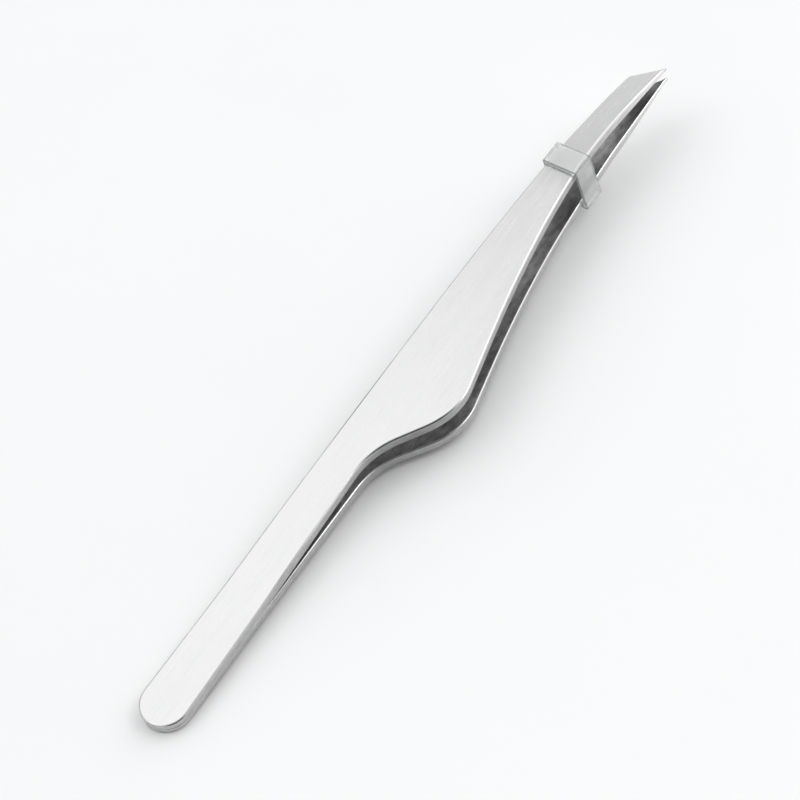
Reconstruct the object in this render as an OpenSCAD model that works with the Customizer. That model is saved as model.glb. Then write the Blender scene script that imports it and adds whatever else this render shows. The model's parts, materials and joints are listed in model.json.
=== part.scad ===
// Slant tweezers: two spring steel arms spot welded together at the tail,
// held part-closed by a loose clear sleeve pushed over the jaws.
//
// Each arm is one flat blank with a straight back edge, a finger bulge on the
// front edge and a slanted tip. Its shape is where two outlines meet: the plan
// outline seen from above and the side outline seen from the front edge.
//
// Working frame: X from the tail end to the tips, Y = 0 on the straight back
// edge with the bulge towards -Y, Z = 0 on the plane where the arms meet.
// rest_on_table() then turns the whole object into the attitude it lies in,
// on its tail end and on the sleeve, with the origin under its middle.

/* [Blank outline] */
// Length from the tail end to the tips
overall_length = 95; // [92:0.5:98]
// Width of the round tail end
tail_width = 5.5; // [5:0.1:6]
// Place along the arm of the narrow neck
neck_x = 36.1; // [34:0.1:38]
// Width at the neck, where the two straight edges of the front would cross
neck_width = 4.3; // [3.9:0.1:4.8]
// Place along the arm of the finger bulge
bulge_x = 44.4; // [43:0.1:46]
// Width at the bulge, where its two straight flanks would cross
bulge_width = 10.1; // [8.5:0.1:11]
// Place where the long front flank flattens out towards the tip
shoulder_x = 71; // [70:0.1:73]
// Width at the shoulder, where flank and tip edge would cross
shoulder_width = 3.45; // [3.2:0.05:3.8]
// Distance of the point of the slant from the line of the back edge
point_y = 3.75; // [3.5:0.05:3.9]
// Place where the back edge starts to lean in
back_bend_x = 62.5; // [58:0.5:66]
// Distance of the heel of the slant from the line of the back edge
heel_y = 0.9; // [0.6:0.1:1.2]
// Length of the slanted end, measured along the arm
slant_length = 3.3; // [2.5:0.1:4]

/* [Side outline] */
// Thickness of one arm at its tail end
tail_thickness = 0.72; // [0.6:0.01:0.9]
// Thickness of one arm over most of its length
arm_thickness = 1.25; // [1.1:0.01:1.4]
// Thickness left at the ground tip
tip_thickness = 0.45; // [0.35:0.01:0.6]
// Place where the arm reaches its full thickness
full_thickness_x = 26; // [22:0.5:30]
// Place where the outer face starts to be ground down to the tip
grind_x = 87; // [85:0.5:90]
// Place where the arms part
parting_x = 15.8; // [15:0.1:17]
// Place of the gentle knee in the arm
knee_x = 44.2; // [42:0.1:46]
// Distance of the inner face from the middle plane at the knee
knee_gap = 1.18; // [1.1:0.01:1.2]
// Place where the arms stand furthest apart
widest_x = 77; // [76:0.1:78]
// Distance of the inner face from the middle plane there
widest_gap = 2.1; // [1.9:0.01:2.15]
// Distance of the inner face from the middle plane at the tips
tip_gap = 0.58; // [0.5:0.01:0.7]

/* [Clear sleeve] */
// Start of the sleeve on the upper arm
sleeve_x = 75.7; // [75:0.1:76]
// Length of the sleeve
sleeve_length = 2.9; // [2.5:0.1:3.2]
// How much further forward the slanting cuts are at the lower arm
sleeve_lean = 0.95; // [0:0.05:1]
// Wall thickness of the sleeve
sleeve_wall = 0.34; // [0.32:0.01:0.4]
// Height of the hollow inside the sleeve
sleeve_inner_height = 6.8; // [6.76:0.01:6.9]
// Distance of the hollow's back side from the line of the back edge
sleeve_back_y = 0.3; // [0.2:0.01:0.38]
// Width of the hollow inside the sleeve
sleeve_inner_width = 3.8; // [3.8:0.01:3.9]
// Radius of the sleeve's rounded outer corners
sleeve_corner = 0.5; // [0.4:0.01:0.6]

/* [Welds and flexing stretch] */
// Radius of one weld nugget
weld_radius = 0.9; // [0.7:0.05:1.1]
// How far a nugget reaches into each arm
weld_depth = 0.3; // [0.2:0.01:0.35]
// Number of spot welds
weld_count = 2; // [1:1:3]
// Distance from the tail end to the first weld
weld_first_x = 5; // [4:0.5:5.5]
// Distance between welds
weld_pitch = 5; // [3:0.5:5.5]
// Place where the flexing stretch begins
spring_start_x = 19; // [18:0.5:20]
// Place where the flexing stretch ends
spring_end_x = 32; // [29:0.5:33]
// Slit that parts the tail from the flexing stretch
root_slit = 0.06; // [0.05:0.01:0.08]
// Slit that parts the flexing stretch from the arm
neck_slit = 0.04; // [0.03:0.01:0.06]

/* [Hidden] */
$fn = 48;

steel = [0.82, 0.82, 0.81];
weld_grey = [0.55, 0.55, 0.56];
clear_plastic = [0.88, 0.9, 0.9, 0.4];

// Larger than the object in every direction, for cutting and for prisms
beyond = 20;
// Gap left between a nugget and its recess
weld_clearance = 0.01;

// Lengths over which the straight edges are rounded into each other
neck_blend = 3.2;
bulge_blend_rear = 4;
bulge_blend_front = 3.5;
shoulder_blend_rear = 19.5;
shoulder_blend_front = 14.4;
back_blend = 8;
parting_blend = 2;
knee_blend_rear = 8;
knee_blend_front = 5;
widest_blend = 4;

// A parabola from a to c that leaves a and reaches c towards the corner b
function parabola(a, b, c, steps) = [
    for (i = [0:steps])
        let (t = i / steps)
        (1 - t) * (1 - t) * a + 2 * t * (1 - t) * b + t * t * c
];

// The point at a distance from a on the way to b
function on_way(a, b, distance) = a + (b - a) * distance / norm(b - a);

// The corner b of the line a, b, c, rounded from a length before b to one after it
function rounded(a, b, c, before, after, steps) =
    parabola(on_way(b, a, before), b, on_way(b, c, after), steps);

// ---- plan outline ----
tail_radius = tail_width / 2;
tail_front = [tail_radius, -tail_width];
tail_back = [tail_radius, 0];
neck = [neck_x, -neck_width];
bulge = [bulge_x, -bulge_width];
shoulder = [shoulder_x, -shoulder_width];
point = [overall_length, -point_y];
heel = [overall_length - slant_length, -heel_y];
back_bend = [back_bend_x, 0];

front_edge = concat(
    [tail_front],
    rounded(tail_front, neck, bulge, neck_blend, neck_blend, 8),
    rounded(neck, bulge, shoulder, bulge_blend_rear, bulge_blend_front, 10),
    rounded(bulge, shoulder, point, shoulder_blend_rear, shoulder_blend_front, 12),
    [point]
);
back_edge = concat(
    [heel],
    rounded(heel, back_bend, tail_back, back_blend, back_blend, 6),
    [tail_back]
);

// ---- side outline of the upper arm ----
parting = [parting_x, 0];
knee = [knee_x, knee_gap];
widest = [widest_x, widest_gap];
tip_inner = [overall_length, tip_gap];

parting_curve = rounded([0, 0], parting, knee, parting_blend, parting_blend, 4);
knee_curve = rounded(parting, knee, widest, knee_blend_rear, knee_blend_front, 6);
widest_curve = rounded(knee, widest, tip_inner, widest_blend, widest_blend, 6);
inner_line = concat([[0, 0]], parting_curve, knee_curve, widest_curve, [tip_inner]);
thickness_along = [
    [0, tail_thickness],
    [full_thickness_x, arm_thickness],
    [grind_x, arm_thickness],
    [overall_length, tip_thickness]
];
stations = concat(
    [0],
    [for (p = parting_curve) p.x],
    [full_thickness_x],
    [for (p = knee_curve) p.x],
    [for (p = widest_curve) p.x],
    [grind_x, overall_length]
);
outer_line = [
    for (x = stations) [x, lookup(x, inner_line) + lookup(x, thickness_along)]
];

// ---- resting attitude ----
sleeve_half_height = sleeve_inner_height / 2 + sleeve_wall;
sleeve_heel_x = sleeve_x + sleeve_lean;
rest_tilt = atan((sleeve_half_height - tail_thickness) / sleeve_heel_x);
tail_drop = tail_thickness * cos(rest_tilt);
tip_outer = tip_gap + tip_thickness;
back_end = -tail_thickness * sin(rest_tilt);
front_end = overall_length * cos(rest_tilt) + tip_outer * sin(rest_tilt);
sleeve_outer_back = sleeve_wall - sleeve_back_y;
bulge_reach = min([for (p = front_edge) p.y]);
middle = [(back_end + front_end) / 2, (sleeve_outer_back + bulge_reach) / 2];

module rest_on_table() {
    translate([-middle.x, -middle.y, tail_drop])
        rotate([0, -rest_tilt, 0])
            children();
}

// ---- shared shapes ----
module blank() {
    translate([0, 0, -beyond])
        linear_extrude(2 * beyond) {
            polygon(concat(front_edge, back_edge));
            translate([tail_radius, -tail_radius])
                circle(tail_radius);
        }
}

module side_prism() {
    rotate([90, 0, 0])
        linear_extrude(2 * beyond, center = true)
            polygon(concat(
                [[-1, 0]],
                inner_line,
                [[overall_length + 1, tip_gap], [overall_length + 1, tip_outer]],
                [for (i = [len(outer_line) - 1:-1:0]) outer_line[i]],
                [[-1, tail_thickness]]
            ));
}

// The upper arm between two places along its length
module arm_stretch(from_x, to_x) {
    intersection() {
        blank();
        side_prism();
        translate([from_x, -beyond, -beyond])
            cube([to_x - from_x, 2 * beyond, 2 * beyond]);
    }
}

module tail_stretch() {
    difference() {
        arm_stretch(-1, spring_start_x - root_slit / 2);
        weld_row(weld_radius, weld_depth);
    }
}

module spring_stretch() {
    arm_stretch(spring_start_x + root_slit / 2, spring_end_x - neck_slit / 2);
}

module jaw_stretch() {
    arm_stretch(spring_end_x + neck_slit / 2, overall_length + 1);
}

// The lower arm is the upper one turned over about the middle plane
module turned_over() {
    mirror([0, 0, 1])
        children();
}

// A lens: what two overlapping balls have in common
module nugget(radius, depth) {
    ball = (radius * radius + depth * depth) / (2 * depth);
    intersection() {
        translate([0, 0, ball - depth])
            sphere(ball);
        translate([0, 0, depth - ball])
            sphere(ball);
    }
}

module weld_row(radius, depth) {
    for (i = [0:weld_count - 1])
        translate([weld_first_x + i * weld_pitch, -tail_radius, 0])
            nugget(radius, depth);
}

// ---- sub-parts ----
module upper_tail() {
    color(steel)
        rest_on_table()
            tail_stretch();
}

module upper_spring() {
    color(steel)
        rest_on_table()
            spring_stretch();
}

module upper_arm() {
    color(steel)
        rest_on_table()
            jaw_stretch();
}

module lower_tail() {
    color(steel)
        rest_on_table()
            turned_over()
                tail_stretch();
}

module lower_spring() {
    color(steel)
        rest_on_table()
            turned_over()
                spring_stretch();
}

module lower_arm() {
    color(steel)
        rest_on_table()
            turned_over()
                jaw_stretch();
}

module spot_welds() {
    color(weld_grey)
        rest_on_table()
            weld_row(weld_radius - weld_clearance, weld_depth - weld_clearance);
}

// A rectangle with round corners, in the plane across the arms
module round_rectangle(width, height, corner) {
    square([width - 2 * corner, height], center = true);
    square([width, height - 2 * corner], center = true);
    for (y = [-1, 1], z = [-1, 1])
        translate([y * (width / 2 - corner), z * (height / 2 - corner)])
            circle(corner);
}

// A tube along the arms, cut off by two parallel slanting cuts
module clear_sleeve() {
    tube_length = sleeve_length + 2 * sleeve_lean + 2;
    outer_width = sleeve_inner_width + 2 * sleeve_wall;
    outer_height = 2 * sleeve_half_height;
    color(clear_plastic)
        rest_on_table()
            intersection() {
                translate([sleeve_x - 1, -sleeve_back_y - sleeve_inner_width / 2, 0])
                    rotate([90, 0, 90])
                        linear_extrude(tube_length)
                            difference() {
                                round_rectangle(outer_width, outer_height, sleeve_corner);
                                round_rectangle(
                                    sleeve_inner_width,
                                    sleeve_inner_height,
                                    sleeve_corner - sleeve_wall
                                );
                            }
                rotate([90, 0, 0])
                    linear_extrude(2 * beyond, center = true)
                        polygon([
                            [sleeve_x, sleeve_half_height],
                            [sleeve_x + sleeve_lean, -sleeve_half_height],
                            [sleeve_x + sleeve_lean + sleeve_length, -sleeve_half_height],
                            [sleeve_x + sleeve_length, sleeve_half_height]
                        ]);
            }
}

upper_tail();
upper_spring();
upper_arm();
lower_tail();
lower_spring();
lower_arm();
spot_welds();
clear_sleeve();
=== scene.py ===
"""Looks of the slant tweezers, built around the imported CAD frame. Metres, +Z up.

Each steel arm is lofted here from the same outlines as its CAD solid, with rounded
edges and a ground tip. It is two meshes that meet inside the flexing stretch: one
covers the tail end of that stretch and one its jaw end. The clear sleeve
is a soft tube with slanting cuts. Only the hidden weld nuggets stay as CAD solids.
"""

import json
import math

import bmesh
import bpy
from mathutils import Matrix, Vector


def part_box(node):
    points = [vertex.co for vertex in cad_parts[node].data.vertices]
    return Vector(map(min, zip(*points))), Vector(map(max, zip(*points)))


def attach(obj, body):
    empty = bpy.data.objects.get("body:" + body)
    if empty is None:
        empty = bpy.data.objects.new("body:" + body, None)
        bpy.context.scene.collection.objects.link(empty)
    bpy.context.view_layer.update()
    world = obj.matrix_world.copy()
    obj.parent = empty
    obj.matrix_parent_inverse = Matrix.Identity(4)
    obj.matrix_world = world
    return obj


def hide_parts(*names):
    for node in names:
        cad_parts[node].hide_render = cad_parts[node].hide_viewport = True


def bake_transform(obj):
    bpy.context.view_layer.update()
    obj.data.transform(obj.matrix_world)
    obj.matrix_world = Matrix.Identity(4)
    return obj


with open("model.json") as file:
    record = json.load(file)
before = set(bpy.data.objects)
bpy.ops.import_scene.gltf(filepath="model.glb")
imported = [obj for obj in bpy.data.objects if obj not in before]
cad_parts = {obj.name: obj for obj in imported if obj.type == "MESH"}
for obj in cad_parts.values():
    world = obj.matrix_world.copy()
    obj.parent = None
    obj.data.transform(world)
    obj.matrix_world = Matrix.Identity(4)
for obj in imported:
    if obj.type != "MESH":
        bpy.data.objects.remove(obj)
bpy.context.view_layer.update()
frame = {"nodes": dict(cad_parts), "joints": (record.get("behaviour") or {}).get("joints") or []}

MM = 0.001

# ---- The blank in millimetres, along and across the arm, as in the CAD source ----
LENGTH = 95.0
TAIL_WIDTH = 5.5
TAIL_RADIUS = TAIL_WIDTH / 2
NECK = (36.1, -4.3)
BULGE = (44.4, -10.1)
SHOULDER = (71.0, -3.45)
POINT = (LENGTH, -3.75)
HEEL = (LENGTH - 3.3, -0.9)
BACK_BEND = (62.5, 0.0)
# How far before and after each of its corners an outline is rounded.
FRONT_ROUNDING = [(3.2, 3.2), (4.0, 3.5), (19.5, 14.4)]
BACK_ROUNDING = [(8.0, 8.0)]

# ---- The side outline of the upper arm, along and above the middle plane ----
PARTING = (15.8, 0.0)
KNEE = (44.2, 1.18)
WIDEST = (77.0, 2.1)
TIP_GAP = 0.58
OUTLINE_START_X = -1.0
SIDE_ROUNDING = [(2.0, 2.0), (8.0, 5.0), (4.0, 4.0)]

# ---- How thick the arm is along its length ----
TAIL_THICKNESS = 0.72
START_THICKNESS = TAIL_THICKNESS - 0.02
ARM_THICKNESS = 1.25
TIP_THICKNESS = 0.45
FULL_THICKNESS_X = 26.0
GRIND_X = 87.0
THICKNESS_ROUNDING = [(4.0, 4.0), (4.0, 3.0)]

# ---- Edges and mesh density ----
OUTER_EDGE_RADIUS = 0.2
INNER_EDGE_RADIUS = 0.15
WELDED_EDGE_RADIUS = 0.06
EDGE_LIMIT_BY_WIDTH = 0.3
EDGE_LIMIT_BY_THICKNESS = 0.36
EDGE_GROWS_FROM_X = 16.0
EDGE_GROWS_TO_X = 26.0
EDGE_STEPS = 4
ACROSS_SHARES = (0.02, 0.12, 0.3, 0.5, 0.7, 0.88, 0.98)
RING_SPACING = 0.4
TAIL_RINGS = 18
SLANT_RINGS = 12
MERGE_DISTANCE = 0.0005
SHORTEST_EDGE = 0.0002
ARM_SHARP_ANGLE = 40
SLEEVE_SHARP_ANGLE = 50

# ---- Where the arm bends, and where its two meshes meet ----
MESHES_MEET_X = 25.6
MEET_TOLERANCE = 0.1

# ---- The clear sleeve ----
SLEEVE_X = 75.7
SLEEVE_LENGTH = 2.9
SLEEVE_LEAN = 0.95
SLEEVE_WALL = 0.34
SLEEVE_INNER_WIDTH = 3.8
SLEEVE_INNER_HEIGHT = 6.8
SLEEVE_BACK_Y = 0.3
SLEEVE_CORNER = 0.3
SLEEVE_INSIDE_CORNER = 0.12
SLEEVE_LIP = 0.06
CORNER_STEPS = 6
# Painted shade on the sleeve's inner corners, as a share of the painted shade at its cut rims.
CORNER_PAINTED_SHADE = 0.8
SIDE_SHARES = (0.03, 0.15, 0.3, 0.45, 0.6, 0.75, 0.87, 0.97)

# ---- Steel: where most noise values lie, the noise per millimetre, shares and colour ----
NOISE_LOW = 0.3
NOISE_HIGH = 0.7
FINE_SCALE = (0.22, 16.0, 16.0)
STREAK_SCALE = (0.05, 3.2, 3.2)
PATCH_SCALE = (0.35, 0.6, 0.6)
MOTTLE_SCALE = (0.8, 1.6, 1.6)
FINE_SHARE = 0.45
STREAK_SHARE = 0.35
COLOUR_REACH = 0.14
STEEL_WARMTH = 0.004

# ---- Painted reflections: how much lighter or darker each steel surface is painted along the arm, as painted shade and painted light standing in for what it reflects: (mm from the tail, factor) ----
TONE_CURVE_TOP = 2.0
# Inner face: painted light at the bulge, and painted shade around the sleeve and at the tips,
# standing in for reflections.
INNER_FACE_PAINTED_REFLECTIONS = [
    (0, 1.05), (36, 1.05), (44, 1.3), (56, 1.05), (66, 1.05), (74, 0.42),
    (79, 0.45), (84, 0.95), (88, 0.75), (95, 0.3),
]
# Ground edges: painted shade in the neck and painted light towards the tips, different for the
# upper and the lower arm, so they are lit and shaded copies of one steel.
UPPER_EDGE_PAINTED_REFLECTIONS = [
    (0, 0.95), (33, 0.95), (37, 0.66), (40, 0.5), (43, 0.64), (47, 0.95),
    (80, 1.0), (90, 1.35), (95, 1.4),
]
LOWER_EDGE_PAINTED_REFLECTIONS = [
    (0, 0.95), (33, 1.0), (37, 0.8), (43, 0.8), (47, 1.0),
    (80, 1.1), (90, 1.35), (95, 1.4),
]
# Polished front edge: painted shade that dims its highlight along the tail and in the neck.
POLISHED_EDGE_PAINTED_SHADE = [
    (0, 0.6), (17, 0.6), (20, 0.5), (26, 0.75), (33, 0.85), (37, 0.4),
    (43, 0.4), (48, 1.0), (95, 1.0),
]

# ---- Other materials: noise scales, and the plastic's colour from its faces to its rims, where it is painted darker as painted shade ----
PLASTIC_LINE_SCALE = (0.4, 5.0, 5.0)
PLASTIC_CLOUD_SCALE = (1.2, 1.2, 1.2)
FUSED_GRAIN_SCALE = (4000.0, 4000.0, 4000.0)
FLOOR_CLOUD_SCALE = (9.0, 9.0, 9.0)
PLASTIC_COLOUR_AND_RIM_SHADE = [
    (0.0, (0.97, 0.985, 0.98)),
    (0.3, (0.9, 0.92, 0.91)),
    (1.0, (0.12, 0.14, 0.13)),
]

# ---- Camera: angles in degrees, places in millimetres ----
CAMERA_AZIMUTH = -42.58
CAMERA_ELEVATION = 53.1
CAMERA_ROLL = -14.65
CAMERA_AIM = (-4.0, 2.03, 3.0)
CAMERA_DISTANCE = 250.7
CAMERA_LENS = 107.17
CAMERA_SENSOR = 36.0
NEAREST_SEEN = 0.01

# ---- Floor: half its side in metres, and how far it tilts down under the jaws ----
FLOOR_SIZE = 2.0
FLOOR_CELLS = 8
FLOOR_DROP = 1.25

# ---- The room round the tweezers: directions from them ----
OBSERVER = (-0.45, -0.75, 0.5)
LEFT_WINDOW = (-0.42, 0.42, 0.8)
STRAIGHT_DOWN = (0, 0, -1)
LAMP_STAND = (0.455, 0.401, 0.795)
JAW_SIDE = (0.68, 0.4, 0.6)
RIGHT_WINDOW = (0.42, -0.52, 0.74)
SIDE_WINDOW = (0.9, -0.1, 0.4)

# ---- The sky's patches: direction, degrees to its full part and to its end, change ----
ROOM_BRIGHTNESS = 0.98
ROOM_COLOUR = (0.985, 0.992, 1.0, 1.0)
SKY_PATCHES = [
    (OBSERVER, 24, 40, -0.9),
    (LEFT_WINDOW, 6, 24, 1.1),
    (STRAIGHT_DOWN, 100, 125, -0.2),
    (LAMP_STAND, 0.5, 4.5, -1.0),
    (JAW_SIDE, 8, 24, -0.14),
    (RIGHT_WINDOW, 15, 35, 0.12),
    (SIDE_WINDOW, 12, 28, 1.6),
]

# ---- Softboxes: place in metres, side in metres, radiance ----
OVERHEAD_PLACE = (0.03, 0.25, 0.45)
OVERHEAD_SIZE = 0.46
OVERHEAD_RADIANCE = 0.3
WINDOW_DISTANCE = 0.5
WINDOW_SIZE = 0.16
WINDOW_RADIANCE = 3.2


# ======================= where the blank lies in the frame =======================


def blank_to_row():
    """The transform from the blank's own axes to the row frame, read off the CAD."""
    slide = next(j for j in frame["joints"] if j["name"] == "sleeve_slide")
    tilt = math.atan2(slide["axis"][2], slide["axis"][0])
    tail_low, tail_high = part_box("upper_tail")
    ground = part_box("lower_tail")[0].z
    origin = Vector((
        tail_low.x + TAIL_THICKNESS * MM * math.sin(tilt),
        tail_high.y,
        ground + TAIL_THICKNESS * MM * math.cos(tilt),
    ))
    return Matrix.Translation(origin) @ Matrix.Rotation(-tilt, 4, "Y")


TO_ROW = blank_to_row()


def in_row(x, y, z):
    """A place on the blank, in millimetres, as a point in the row frame."""
    return TO_ROW @ Vector((x * MM, y * MM, z * MM))


# ======================= outlines =======================


class RoundedLine:
    """A line through points of rising x, with each corner rounded by a parabola."""

    def __init__(self, points, blends):
        self.points = [Vector(p) for p in points]
        self.corners = []
        for i, (before, after) in enumerate(blends, start=1):
            corner = self.points[i]
            start = corner + (self.points[i - 1] - corner).normalized() * before
            end = corner + (self.points[i + 1] - corner).normalized() * after
            self.corners.append((start, corner, end))

    def __call__(self, x):
        """The height of the line at x."""
        for start, corner, end in self.corners:
            if start.x <= x <= end.x:
                return self.on_parabola(start, corner, end, x)
        for a, b in zip(self.points, self.points[1:]):
            if x <= b.x:
                return a.y + (b.y - a.y) * (x - a.x) / (b.x - a.x)
        return self.points[-1].y

    @staticmethod
    def on_parabola(start, corner, end, x):
        """The height at x of the parabola that leaves start and end towards the corner."""
        square = start.x - 2 * corner.x + end.x
        linear = 2 * (corner.x - start.x)
        constant = start.x - x
        if abs(square) < 1e-9:
            t = -constant / linear
        else:
            t = (math.sqrt(linear**2 - 4 * square * constant) - linear) / (2 * square)
        return (1 - t) ** 2 * start.y + 2 * t * (1 - t) * corner.y + t * t * end.y


front_y = RoundedLine(
    [(TAIL_RADIUS, -TAIL_WIDTH), NECK, BULGE, SHOULDER, POINT],
    FRONT_ROUNDING,
)
back_y = RoundedLine([(TAIL_RADIUS, 0.0), BACK_BEND, HEEL], BACK_ROUNDING)
inner_z = RoundedLine(
    [(OUTLINE_START_X, 0.0), PARTING, KNEE, WIDEST, (LENGTH, TIP_GAP)],
    SIDE_ROUNDING,
)
thickness = RoundedLine(
    [
        (OUTLINE_START_X, START_THICKNESS),
        (FULL_THICKNESS_X, ARM_THICKNESS),
        (GRIND_X, ARM_THICKNESS),
        (LENGTH, TIP_THICKNESS),
    ],
    THICKNESS_ROUNDING,
)


def plan_rings():
    """Pairs of facing points on the back and front edge, from the tail to the tip."""
    rings = []
    for i in range(TAIL_RINGS):
        angle = math.radians(90) * i / TAIL_RINGS
        x = TAIL_RADIUS * (1 - math.cos(angle))
        reach = TAIL_RADIUS * math.sin(angle)
        rings.append((Vector((x, reach - TAIL_RADIUS)), Vector((x, -reach - TAIL_RADIUS))))
    stops = [TAIL_RADIUS, MESHES_MEET_X, HEEL[0]]
    for begin, end in zip(stops, stops[1:]):
        count = round((end - begin) / RING_SPACING)
        for i in range(count):
            x = begin + (end - begin) * i / count
            rings.append((Vector((x, back_y(x))), Vector((x, front_y(x)))))
    heel, point = Vector(HEEL), Vector(POINT)
    opposite = Vector((HEEL[0], front_y(HEEL[0])))
    for i in range(SLANT_RINGS + 1):
        share = i / SLANT_RINGS
        rings.append((heel.lerp(point, share), opposite.lerp(point, share)))
    return rings


def inward_steps(rings):
    """For each ring, how its back and front point move when the outline shrinks by 1."""
    loop = [front for _, front in rings] + [back for back, _ in rings[-2:0:-1]]
    steps = []
    for i, here in enumerate(loop):
        normals = []
        for a, b in ((loop[i - 1], here), (here, loop[(i + 1) % len(loop)])):
            along = (b - a).normalized()
            normals.append(Vector((-along.y, along.x)))
        steps.append((normals[0] + normals[1]) / (1 + normals[0].dot(normals[1])))
    last = len(rings) - 1
    fronts = steps[: last + 1]
    backs = [steps[0], *reversed(steps[last + 1:]), steps[last]]
    return backs, fronts


# ======================= the arms =======================

OUTER_FACE, INNER_FACE, EDGE_STRIP, POLISHED_EDGE = range(4)


def edge_radii(x, width):
    """Radius of the outer and of the inner edge at a ring."""
    grown = min(max((x - EDGE_GROWS_FROM_X) / (EDGE_GROWS_TO_X - EDGE_GROWS_FROM_X), 0), 1)
    inner = WELDED_EDGE_RADIUS + (INNER_EDGE_RADIUS - WELDED_EDGE_RADIUS) * grown
    most = EDGE_LIMIT_BY_WIDTH * width if x >= HEEL[0] else OUTER_EDGE_RADIUS
    most = min(most, EDGE_LIMIT_BY_THICKNESS * thickness(x))
    return min(OUTER_EDGE_RADIUS, most), min(inner, most)


def ring_loop(back, front, back_step, front_step):
    """The points round the arm at one ring, and what kind of surface follows each.

    They run up the back edge, across the outer face, down the front edge and back
    across the inner face."""
    outer_r, inner_r = edge_radii(max(back.x, front.x), (back - front).length)
    turns = [math.radians(90) * i / EDGE_STEPS for i in range(EDGE_STEPS + 1)]
    loop = []

    def edge(start, step, radius, outer, angles, kind):
        """Adds a rounded edge that begins where the outline stands, shrunk by step."""
        for a in angles:
            spot = start + step * radius * (1 - math.cos(a))
            rise = radius * (1 - math.sin(a))
            if outer:
                z = inner_z(spot.x) + thickness(spot.x) - rise
            else:
                z = inner_z(spot.x) + rise
            loop.append(((spot.x, spot.y, z), kind))
        loop[-1] = (loop[-1][0], EDGE_STRIP)

    def across(start, end, outer, kind):
        """Adds a face from one rounded edge to the other."""
        loop[-1] = (loop[-1][0], kind)
        for share in ACROSS_SHARES:
            spot = start.lerp(end, share)
            z = inner_z(spot.x) + (thickness(spot.x) if outer else 0.0)
            loop.append(((spot.x, spot.y, z), kind))

    edge(back, back_step, inner_r, False, reversed(turns), EDGE_STRIP)
    edge(back, back_step, outer_r, True, turns, EDGE_STRIP)
    across(back + back_step * outer_r, front + front_step * outer_r, True, OUTER_FACE)
    edge(front, front_step, outer_r, True, reversed(turns), POLISHED_EDGE)
    edge(front, front_step, inner_r, False, turns, POLISHED_EDGE)
    across(front + front_step * inner_r, back + back_step * inner_r, False, INNER_FACE)
    return loop


def arm_loops():
    """The points round the upper arm at every ring, from the tail to the tip."""
    rings = plan_rings()
    backs, fronts = inward_steps(rings)
    return [
        ring_loop(back, front, b, f)
        for (back, front), b, f in zip(rings, backs, fronts)
    ]


def remember_blank(mesh, blank_places):
    """Keeps each vertex's place on the blank, so that the grain stays put in any pose."""
    attribute = mesh.attributes.new("blank_mm", "FLOAT_VECTOR", "POINT")
    for item, place in zip(attribute.data, blank_places):
        item.vector = place


def finish_mesh(name, bm, materials, sharp_angle):
    """Turns a bmesh in blank millimetres into a shaded object in the row frame."""
    bmesh.ops.remove_doubles(bm, verts=bm.verts, dist=MERGE_DISTANCE)
    bmesh.ops.dissolve_degenerate(bm, edges=bm.edges, dist=SHORTEST_EDGE)
    bmesh.ops.recalc_face_normals(bm, faces=bm.faces)
    places = [v.co.copy() for v in bm.verts]
    for v in bm.verts:
        v.co = in_row(*v.co)
    mesh = bpy.data.meshes.new(name)
    bm.to_mesh(mesh)
    bm.free()
    remember_blank(mesh, places)
    for material in materials:
        mesh.materials.append(material)
    mesh.shade_smooth()
    mesh.set_sharp_from_angle(angle=math.radians(sharp_angle))
    piece = bpy.data.objects.new(name, mesh)
    bpy.context.scene.collection.objects.link(piece)
    return piece


def loft(name, loops, side, materials):
    """A closed mesh through the loops. Side is 1 for the upper arm, -1 for the lower."""
    bm = bmesh.new()
    rings = [[bm.verts.new((x, y, z * side)) for (x, y, z), _ in loop] for loop in loops]
    kinds = [kind for _, kind in loops[0]]
    count = len(kinds)
    for a, b in zip(rings, rings[1:]):
        for i in range(count):
            j = (i + 1) % count
            face = bm.faces.new((a[i], a[j], b[j], b[i]))
            face.material_index = kinds[i]
    for end in (rings[0], rings[-1]):
        cap = bm.faces.new(end)
        cap.material_index = EDGE_STRIP
    return finish_mesh(name, bm, materials, ARM_SHARP_ANGLE)


def build_arm(side, prefix, materials):
    """One arm as two meshes that share a ring inside the flexing stretch."""
    loops = arm_loops()
    meet_x = MESHES_MEET_X - MEET_TOLERANCE
    meet = next(i for i, loop in enumerate(loops) if loop[0][0][0] >= meet_x)
    rear = loft(prefix + "_arm_rear", loops[: meet + 1], side, materials)
    jaw = loft(prefix + "_arm_jaw", loops[meet:], side, materials)
    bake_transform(rear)
    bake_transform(jaw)
    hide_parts(prefix + "_tail", prefix + "_spring")
    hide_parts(prefix + "_arm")


# ======================= the clear sleeve =======================


def round_rectangle(width, height, corner):
    """Points round a rectangle with round corners, and how near a corner each one is."""
    points, nearness = [], []
    corners = [(1, -1, 270), (1, 1, 0), (-1, 1, 90), (-1, -1, 180)]

    def on_arc(y_side, z_side, degrees):
        """A point on the round corner at that side, at an angle round its centre."""
        angle = math.radians(degrees)
        return Vector((
            y_side * (width / 2 - corner) + corner * math.cos(angle),
            z_side * (height / 2 - corner) + corner * math.sin(angle),
        ))

    for i, (y_side, z_side, start) in enumerate(corners):
        for k in range(CORNER_STEPS + 1):
            points.append(on_arc(y_side, z_side, start + 90 * k / CORNER_STEPS))
            nearness.append(1 - abs(2 * k / CORNER_STEPS - 1))
        here = points[-1]
        goal = on_arc(*corners[(i + 1) % 4])
        points += [here.lerp(goal, share) for share in SIDE_SHARES]
        nearness += [0.0] * len(SIDE_SHARES)
    return points, nearness


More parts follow.
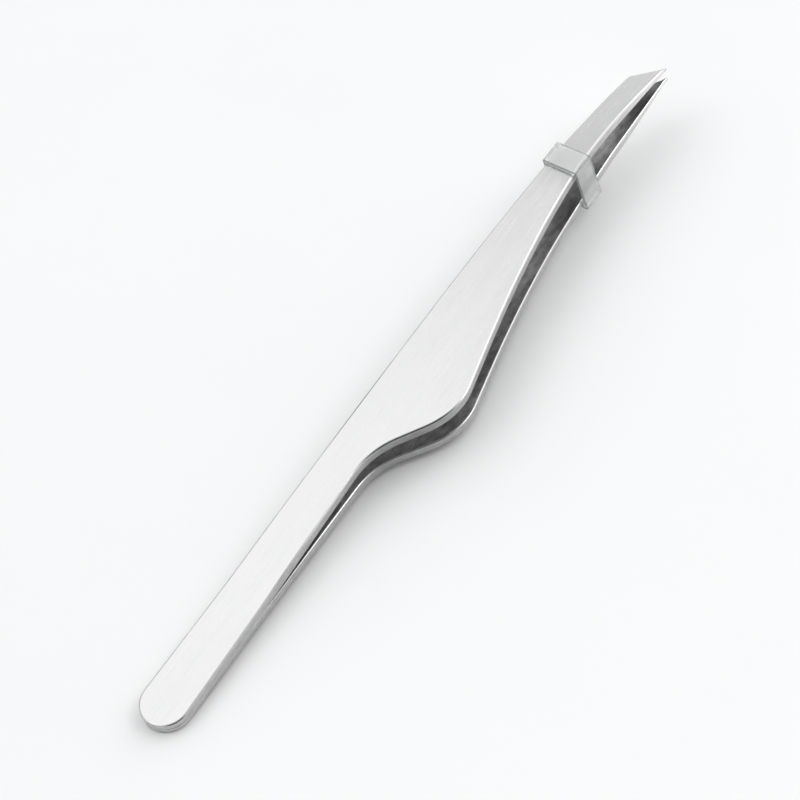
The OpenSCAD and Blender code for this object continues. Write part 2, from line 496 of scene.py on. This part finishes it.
def build_sleeve(material):
    """A soft tube round both arms, cut off by two parallel slanting cuts."""
    inner, nearness = round_rectangle(
        SLEEVE_INNER_WIDTH, SLEEVE_INNER_HEIGHT, SLEEVE_INSIDE_CORNER
    )
    outer, _ = round_rectangle(
        SLEEVE_INNER_WIDTH + 2 * SLEEVE_WALL,
        SLEEVE_INNER_HEIGHT + 2 * SLEEVE_WALL,
        SLEEVE_CORNER,
    )
    middle_y = -SLEEVE_BACK_Y - SLEEVE_INNER_WIDTH / 2
    half = SLEEVE_INNER_HEIGHT / 2 + SLEEVE_WALL
    lip_share = SLEEVE_LIP / SLEEVE_WALL

    def place(spot, along):
        """Where a point of a cross-section lies: the lower, the nearer the tips."""
        start = SLEEVE_X + SLEEVE_LEAN * (half - spot.y) / (2 * half)
        return (start + along, middle_y + spot.x, spot.y)

    cut_outer = [o.lerp(i, lip_share) for o, i in zip(outer, inner)]
    cut_inner = [i.lerp(o, lip_share) for o, i in zip(outer, inner)]
    wall_length = SLEEVE_LENGTH - 2 * SLEEVE_LIP
    walls = [SLEEVE_LIP + wall_length * share for share in (0, *SIDE_SHARES, 1)]
    profile = [(outer, along) for along in walls]
    profile += [(cut_outer, SLEEVE_LENGTH), (cut_inner, SLEEVE_LENGTH)]
    profile += [(inner, along) for along in reversed(walls)]
    profile += [(cut_inner, 0.0), (cut_outer, 0.0)]
    bm = bmesh.new()
    painted_rim_shade = bm.verts.layers.float.new("painted_rim_shade")
    rings = [[bm.verts.new(place(spot, along)) for spot in line] for line, along in profile]
    # Painted shade: the cut rims get the full painted shade and the corners a share of it.
    for ring, (_, along) in zip(rings, profile):
        at_cut = along <= walls[0] or along >= walls[-1]
        for v, near in zip(ring, nearness):
            v[painted_rim_shade] = 1.0 if at_cut else CORNER_PAINTED_SHADE * near
    count = len(outer)
    for a, b in zip(rings, rings[1:] + rings[:1]):
        for i in range(count):
            j = (i + 1) % count
            bm.faces.new((a[i], a[j], b[j], b[i]))
    sleeve = finish_mesh("clear_tube", bm, [material], SLEEVE_SHARP_ANGLE)
    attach(sleeve, "sleeve")
    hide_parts("clear_sleeve")


# ======================= materials =======================


class Nodes:
    """A short way to add and link the nodes of one material."""

    def __init__(self, name):
        self.material = bpy.data.materials.new(name)
        self.material.use_nodes = True
        self.tree = self.material.node_tree
        self.shader = self.tree.nodes["Principled BSDF"]

    def add(self, kind, **settings):
        """A new node with the given settings."""
        node = self.tree.nodes.new(kind)
        for key, value in settings.items():
            setattr(node, key, value)
        return node

    def link(self, a, b):
        self.tree.links.new(a, b)

    def blank_place(self):
        """The place on the blank in millimetres, which stays put when the arm bends."""
        node = self.add("ShaderNodeAttribute", attribute_name="blank_mm")
        return node.outputs["Vector"]

    def noise(self, vector, scale, detail=3.0, roughness=0.6):
        """Noise over a vector stretched by scale along each axis."""
        mapping = self.add("ShaderNodeMapping")
        mapping.inputs["Scale"].default_value = scale
        self.link(vector, mapping.inputs["Vector"])
        noise = self.add("ShaderNodeTexNoise")
        noise.inputs["Scale"].default_value = 1.0
        noise.inputs["Detail"].default_value = detail
        noise.inputs["Roughness"].default_value = roughness
        self.link(mapping.outputs["Vector"], noise.inputs["Vector"])
        return noise.outputs["Fac"]

    def spread(self, value, low, high):
        """Noise spread out between low and high."""
        node = self.add("ShaderNodeMapRange")
        node.inputs["From Min"].default_value = NOISE_LOW
        node.inputs["From Max"].default_value = NOISE_HIGH
        node.inputs["To Min"].default_value = low
        node.inputs["To Max"].default_value = high
        self.link(value, node.inputs["Value"])
        return node.outputs["Result"]

    def maths(self, operation, a, b):
        """Two numbers or sockets put together by one operation."""
        node = self.add("ShaderNodeMath", operation=operation)
        for socket, value in zip(node.inputs, (a, b)):
            if isinstance(value, (int, float)):
                socket.default_value = value
            else:
                self.link(value, socket)
        return node.outputs[0]

    def colours(self, value, stops):
        """A colour ramp: stops are (place, (r, g, b))."""
        ramp = self.add("ShaderNodeValToRGB")
        elements = ramp.color_ramp.elements
        while len(elements) < len(stops):
            elements.new(0.5)
        for element, (place, colour) in zip(elements, stops):
            element.position = place
            element.color = (*colour, 1.0)
        self.link(value, ramp.inputs["Fac"])
        return ramp.outputs["Color"]

    def bump(self, height, depth, under=None):
        """A normal bumped by a height, of a depth in metres, over the bump under it."""
        node = self.add("ShaderNodeBump")
        node.inputs["Distance"].default_value = depth
        self.link(height, node.inputs["Height"])
        if under is not None:
            self.link(under, node.inputs["Normal"])
        return node.outputs["Normal"]


def grey(level, warmth=0.0):
    """A grey, a little redder where warmth is above zero."""
    return (level * (1 + warmth), level, level * (1 - warmth))


def painted_light_along(n, place, stops):
    """A factor of painted light and painted shade that changes along the arm: stops are
    (millimetres from the tail, factor).
    """
    along = n.add("ShaderNodeSeparateXYZ")
    n.link(place, along.inputs["Vector"])
    ramp = n.add("ShaderNodeFloatCurve")
    curve = ramp.mapping.curves[0]
    for x, factor in stops[1:-1]:
        curve.points.new(x / LENGTH, factor / TONE_CURVE_TOP)
    for point, (x, factor) in ((curve.points[0], stops[0]), (curve.points[-1], stops[-1])):
        point.location = (x / LENGTH, factor / TONE_CURVE_TOP)
    for point in curve.points:
        point.handle_type = "VECTOR"
    ramp.mapping.update()
    n.link(n.maths("DIVIDE", along.outputs["X"], LENGTH), ramp.inputs["Value"])
    return n.maths("MULTIPLY", ramp.outputs["Value"], TONE_CURVE_TOP)


def brushed_steel(name, level, contrast, roughness, grain_depth, patch_share, painted_light_tone=None):
    """Steel with fine brushing along the arm, broader streaks and faint handling marks.

    A painted light tone, where given, makes it lighter or darker along the arm as painted
    reflections, with a little mottling."""
    n = Nodes(name)
    place = n.blank_place()
    fine = n.noise(place, FINE_SCALE, detail=4.0, roughness=0.7)
    streak = n.noise(place, STREAK_SCALE, detail=3.0)
    patch = n.noise(place, PATCH_SCALE, detail=2.0)
    fine_part = n.maths("MULTIPLY", fine, FINE_SHARE)
    streak_part = n.maths("MULTIPLY", streak, STREAK_SHARE)
    patch_part = n.maths("MULTIPLY", patch, patch_share)
    mixed = n.maths("ADD", n.maths("ADD", fine_part, streak_part), patch_part)
    middle = 0.5 * (FINE_SHARE + STREAK_SHARE + patch_share)
    colour = n.colours(
        mixed,
        [
            (middle - COLOUR_REACH, grey(level * (1 - contrast), STEEL_WARMTH)),
            (middle + COLOUR_REACH, grey(level * (1 + contrast), STEEL_WARMTH)),
        ],
    )
    # Painted light and painted shade: the colour is scaled along the arm, standing in for
    # reflections.
    if painted_light_tone:
        mottle = n.noise(place, MOTTLE_SCALE, detail=4.0)
        mottle = n.spread(mottle, 1 - patch_share, 1 + patch_share)
        scale = n.add("ShaderNodeVectorMath", operation="SCALE")
        n.link(colour, scale.inputs[0])
        n.link(n.maths("MULTIPLY", painted_light_along(n, place, painted_light_tone), mottle), scale.inputs["Scale"])
        colour = scale.outputs["Vector"]
    n.link(colour, n.shader.inputs["Base Color"])
    n.link(n.spread(mixed, *roughness), n.shader.inputs["Roughness"])
    n.shader.inputs["Metallic"].default_value = 1.0
    n.shader.inputs["Anisotropic"].default_value = 0.35
    normal = n.bump(fine, grain_depth)
    n.link(n.bump(streak, grain_depth * 2, under=normal), n.shader.inputs["Normal"])
    return n.material


def steel_materials():
    """The four surfaces of the upper and of the lower arm, which differ in one edge: the ground
    edge gets its own painted shade and painted light along each arm.
    """
    outer = brushed_steel(
        "steel_outer_face", level=0.7, contrast=0.035, roughness=(0.2, 0.3),
        grain_depth=0.000005, patch_share=0.2,
    )
    inner = brushed_steel(
        "steel_inner_face_painted_reflections", level=0.4, contrast=0.18, roughness=(0.26, 0.42),
        grain_depth=0.000012, patch_share=0.35, painted_light_tone=INNER_FACE_PAINTED_REFLECTIONS,
    )
    polished = brushed_steel(
        "steel_polished_edge_painted_shade", level=0.84, contrast=0.03, roughness=(0.12, 0.2),
        grain_depth=0.000002, patch_share=0.04, painted_light_tone=POLISHED_EDGE_PAINTED_SHADE,
    )
    # The ground edge is made twice, one copy per arm, differing only in its painted shade and
    # painted light.
    upper_edge, lower_edge = (
        brushed_steel(
            "steel_ground_edge_painted_reflections_" + prefix, level=0.56, contrast=0.07, roughness=(0.26, 0.4),
            grain_depth=0.000008, patch_share=0.12, painted_light_tone=painted_light_tone,
        )
        for prefix, painted_light_tone in (("upper", UPPER_EDGE_PAINTED_REFLECTIONS), ("lower", LOWER_EDGE_PAINTED_REFLECTIONS))
    )
    return [outer, inner, upper_edge, polished], [outer, inner, lower_edge, polished]


def clear_plastic():
    """Clear soft PVC with a slight haze and faint drawing lines along the tube.

    It is painted darker at its cut rims and corners: painted shade standing in for the darkening
    where one looks through more of it."""
    n = Nodes("clear_soft_plastic_painted_rim_shade")
    place = n.blank_place()
    painted_rim_shade = n.add("ShaderNodeAttribute", attribute_name="painted_rim_shade").outputs["Fac"]
    lines = n.noise(place, PLASTIC_LINE_SCALE, detail=2.0)
    cloud = n.noise(place, PLASTIC_CLOUD_SCALE, detail=2.0)
    # Painted shade: the plastic's colour runs from clear at its faces to dark at its rims and
    # corners.
    n.link(n.colours(painted_rim_shade, PLASTIC_COLOUR_AND_RIM_SHADE), n.shader.inputs["Base Color"])
    n.shader.inputs["Transmission Weight"].default_value = 0.7
    n.shader.inputs["Alpha"].default_value = 0.68
    n.shader.inputs["Specular IOR Level"].default_value = 0.75
    n.shader.inputs["IOR"].default_value = 1.42
    n.link(n.spread(cloud, 0.05, 0.12), n.shader.inputs["Roughness"])
    n.link(n.bump(lines, 0.00002), n.shader.inputs["Normal"])
    return n.material


def fused_steel():
    """The rough, greyer steel of the weld nuggets between the arms."""
    n = Nodes("fused_steel")
    place = n.add("ShaderNodeTexCoord").outputs["Object"]
    grains = n.noise(place, FUSED_GRAIN_SCALE)
    colour = n.colours(grains, [(NOISE_LOW, grey(0.35)), (NOISE_HIGH, grey(0.5))])
    n.link(colour, n.shader.inputs["Base Color"])
    n.shader.inputs["Metallic"].default_value = 1.0
    n.link(n.spread(grains, 0.4, 0.6), n.shader.inputs["Roughness"])
    return n.material


def pale_floor():
    """A matt, nearly white surface with a faint cloudiness."""
    n = Nodes("pale_floor")
    place = n.add("ShaderNodeTexCoord").outputs["Object"]
    cloud = n.noise(place, FLOOR_CLOUD_SCALE, detail=5.0)
    n.link(
        n.colours(cloud, [(NOISE_LOW, grey(0.84)), (NOISE_HIGH, grey(0.865))]),
        n.shader.inputs["Base Color"],
    )
    n.shader.inputs["Roughness"].default_value = 0.55
    n.shader.inputs["Specular IOR Level"].default_value = 0.25
    return n.material


# ======================= camera, floor and light =======================


def build_camera():
    """The photograph's viewing angle: from the tail's front side, well above."""
    azimuth = math.radians(CAMERA_AZIMUTH)
    elevation = math.radians(CAMERA_ELEVATION)
    roll = math.radians(CAMERA_ROLL)
    aim = Vector(CAMERA_AIM) * MM
    distance = CAMERA_DISTANCE * MM
    back = Vector((
        math.sin(azimuth) * math.cos(elevation),
        -math.cos(azimuth) * math.cos(elevation),
        math.sin(elevation),
    ))
    level_right = Vector((0, 0, 1)).cross(back).normalized()
    level_up = back.cross(level_right)
    right = level_right * math.cos(roll) + level_up * math.sin(roll)
    up = level_up * math.cos(roll) - level_right * math.sin(roll)
    camera_data = bpy.data.cameras.new("camera")
    camera_data.sensor_width = CAMERA_SENSOR
    camera_data.lens = CAMERA_LENS
    camera_data.clip_start = NEAREST_SEEN
    camera = bpy.data.objects.new("camera", camera_data)
    turn = Matrix((right, up, back)).transposed().to_4x4()
    camera.matrix_world = Matrix.Translation(aim + back * distance) @ turn
    bpy.context.scene.collection.objects.link(camera)
    bpy.context.scene.camera = camera


def build_floor():
    """A plain floor that meets the tail end and falls away a little under the jaws.

    The drop leaves room for the lower arm to spring open without sinking into it."""
    mesh = bpy.data.meshes.new("floor")
    bm = bmesh.new()
    bmesh.ops.create_grid(bm, x_segments=FLOOR_CELLS, y_segments=FLOOR_CELLS, size=FLOOR_SIZE)
    bm.to_mesh(mesh)
    bm.free()
    mesh.materials.append(pale_floor())
    floor = bpy.data.objects.new("floor", mesh)
    hinge = Matrix.Translation((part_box("lower_tail")[0].x, 0, 0))
    floor.matrix_world = hinge @ Matrix.Rotation(math.radians(FLOOR_DROP), 4, "Y")
    bpy.context.scene.collection.objects.link(floor)


def softbox(name, place, size, radiance):
    """A square area light of the given side, that looks as bright as the radiance."""
    light = bpy.data.lights.new(name, "AREA")
    light.shape = "SQUARE"
    light.size = size
    light.energy = radiance * math.pi * size * size
    lamp = bpy.data.objects.new(name, light)
    lamp.location = place
    lamp.rotation_euler = (-Vector(place)).to_track_quat("-Z", "Y").to_euler()
    bpy.context.scene.collection.objects.link(lamp)


def room_sky():
    """A pale room: brighter at its windows, darker low down and behind the camera.

    It is also darker at a lamp stand, and a little on the side the jaws point to."""
    world = bpy.data.worlds.new("room")
    world.use_nodes = True
    tree = world.node_tree
    background = tree.nodes["Background"]
    place = tree.nodes.new("ShaderNodeTexCoord")

    def patch(direction, inner, outer, change):
        """Change of brightness inside a cone of directions, fading out between two angles."""
        facing = tree.nodes.new("ShaderNodeVectorMath")
        facing.operation = "DOT_PRODUCT"
        facing.inputs[1].default_value = Vector(direction).normalized()
        tree.links.new(place.outputs["Generated"], facing.inputs[0])
        fade = tree.nodes.new("ShaderNodeMapRange")
        fade.interpolation_type = "SMOOTHSTEP"
        fade.inputs["From Min"].default_value = math.cos(math.radians(outer))
        fade.inputs["From Max"].default_value = math.cos(math.radians(inner))
        fade.inputs["To Max"].default_value = change
        tree.links.new(facing.outputs["Value"], fade.inputs["Value"])
        return fade.outputs["Result"]

    brightness = None
    for direction, inner, outer, change in SKY_PATCHES:
        piece = patch(direction, inner, outer, change)
        add = tree.nodes.new("ShaderNodeMath")
        add.operation = "ADD"
        add.inputs[1].default_value = ROOM_BRIGHTNESS
        if brightness is not None:
            tree.links.new(brightness, add.inputs[1])
        tree.links.new(piece, add.inputs[0])
        brightness = add.outputs[0]
    tree.links.new(brightness, background.inputs["Strength"])
    background.inputs["Color"].default_value = ROOM_COLOUR
    bpy.context.scene.world = world


def build_light():
    """Two softboxes that face the tweezers, inside a pale room."""
    window_place = WINDOW_DISTANCE * Vector(RIGHT_WINDOW)
    softbox("overhead", OVERHEAD_PLACE, OVERHEAD_SIZE, OVERHEAD_RADIANCE)
    softbox("right_window", window_place, WINDOW_SIZE, WINDOW_RADIANCE)
    room_sky()
    bpy.context.scene.view_settings.view_transform = "Standard"


build_camera()
build_floor()
build_light()
upper_steel, lower_steel = steel_materials()
build_arm(1, "upper", upper_steel)
build_arm(-1, "lower", lower_steel)
build_sleeve(clear_plastic())
weld_node = frame["nodes"]["spot_welds"]
weld_node.data.materials.clear()
weld_node.data.materials.append(fused_steel())
